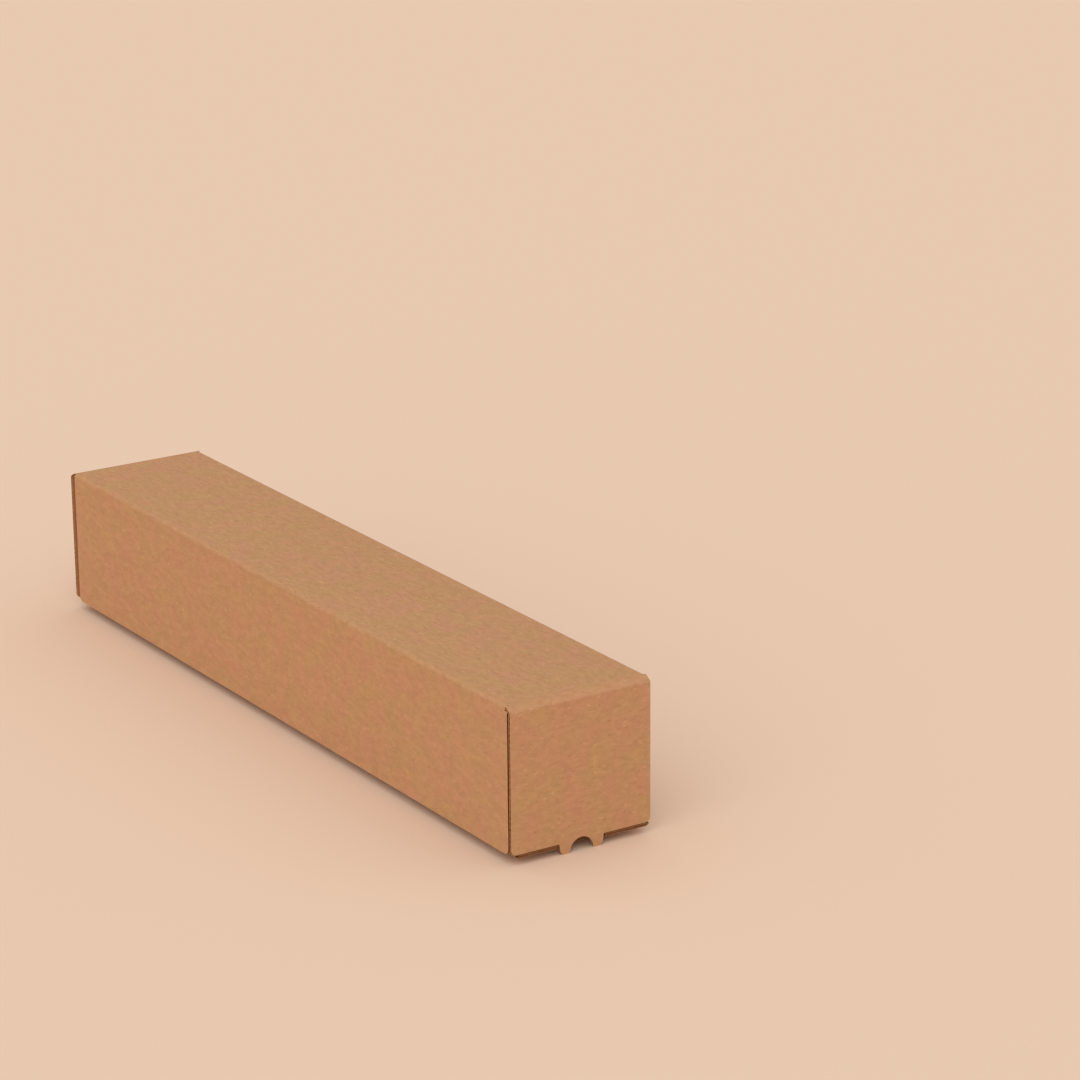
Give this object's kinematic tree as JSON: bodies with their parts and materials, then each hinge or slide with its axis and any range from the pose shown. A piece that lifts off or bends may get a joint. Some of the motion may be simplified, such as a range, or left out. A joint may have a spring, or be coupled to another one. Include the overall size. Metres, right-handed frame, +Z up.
{
  "type": "square corrugated mailing tube",
  "caption": "Long square-section mailing tube folded from corrugated kraft board, with a hinged, tongued closing flap at each end.",
  "frame": {"origin": "under the middle of the tube, on the surface that it lies on", "axes": "+X along the tube, +Z up, -Y towards the face with the lapped outer panel"},
  "size_m": [0.54, 0.0936, 0.0945],
  "materials": {
    "kraft_board": "matte uncoated kraft liner with brown fluted edges"
  },
  "bodies": {
    "tube": {"tube_body": "kraft_board"},
    "right_flap": {"right_end_flap": "kraft_board"},
    "left_flap": {"left_end_flap": "kraft_board"}
  },
  "joints": [
    {"name": "right_flap_fold", "type": "hinge", "parent": "tube", "child": "right_flap", "pos_m": [0.2649, 0, 0.0945], "axis": [0, -1, 0], "range_deg": [0, 150]},
    {"name": "left_flap_fold", "type": "hinge", "parent": "tube", "child": "left_flap", "pos_m": [-0.2649, 0, 0.0945], "axis": [0, 1, 0], "range_deg": [0, 150]}
  ]
}
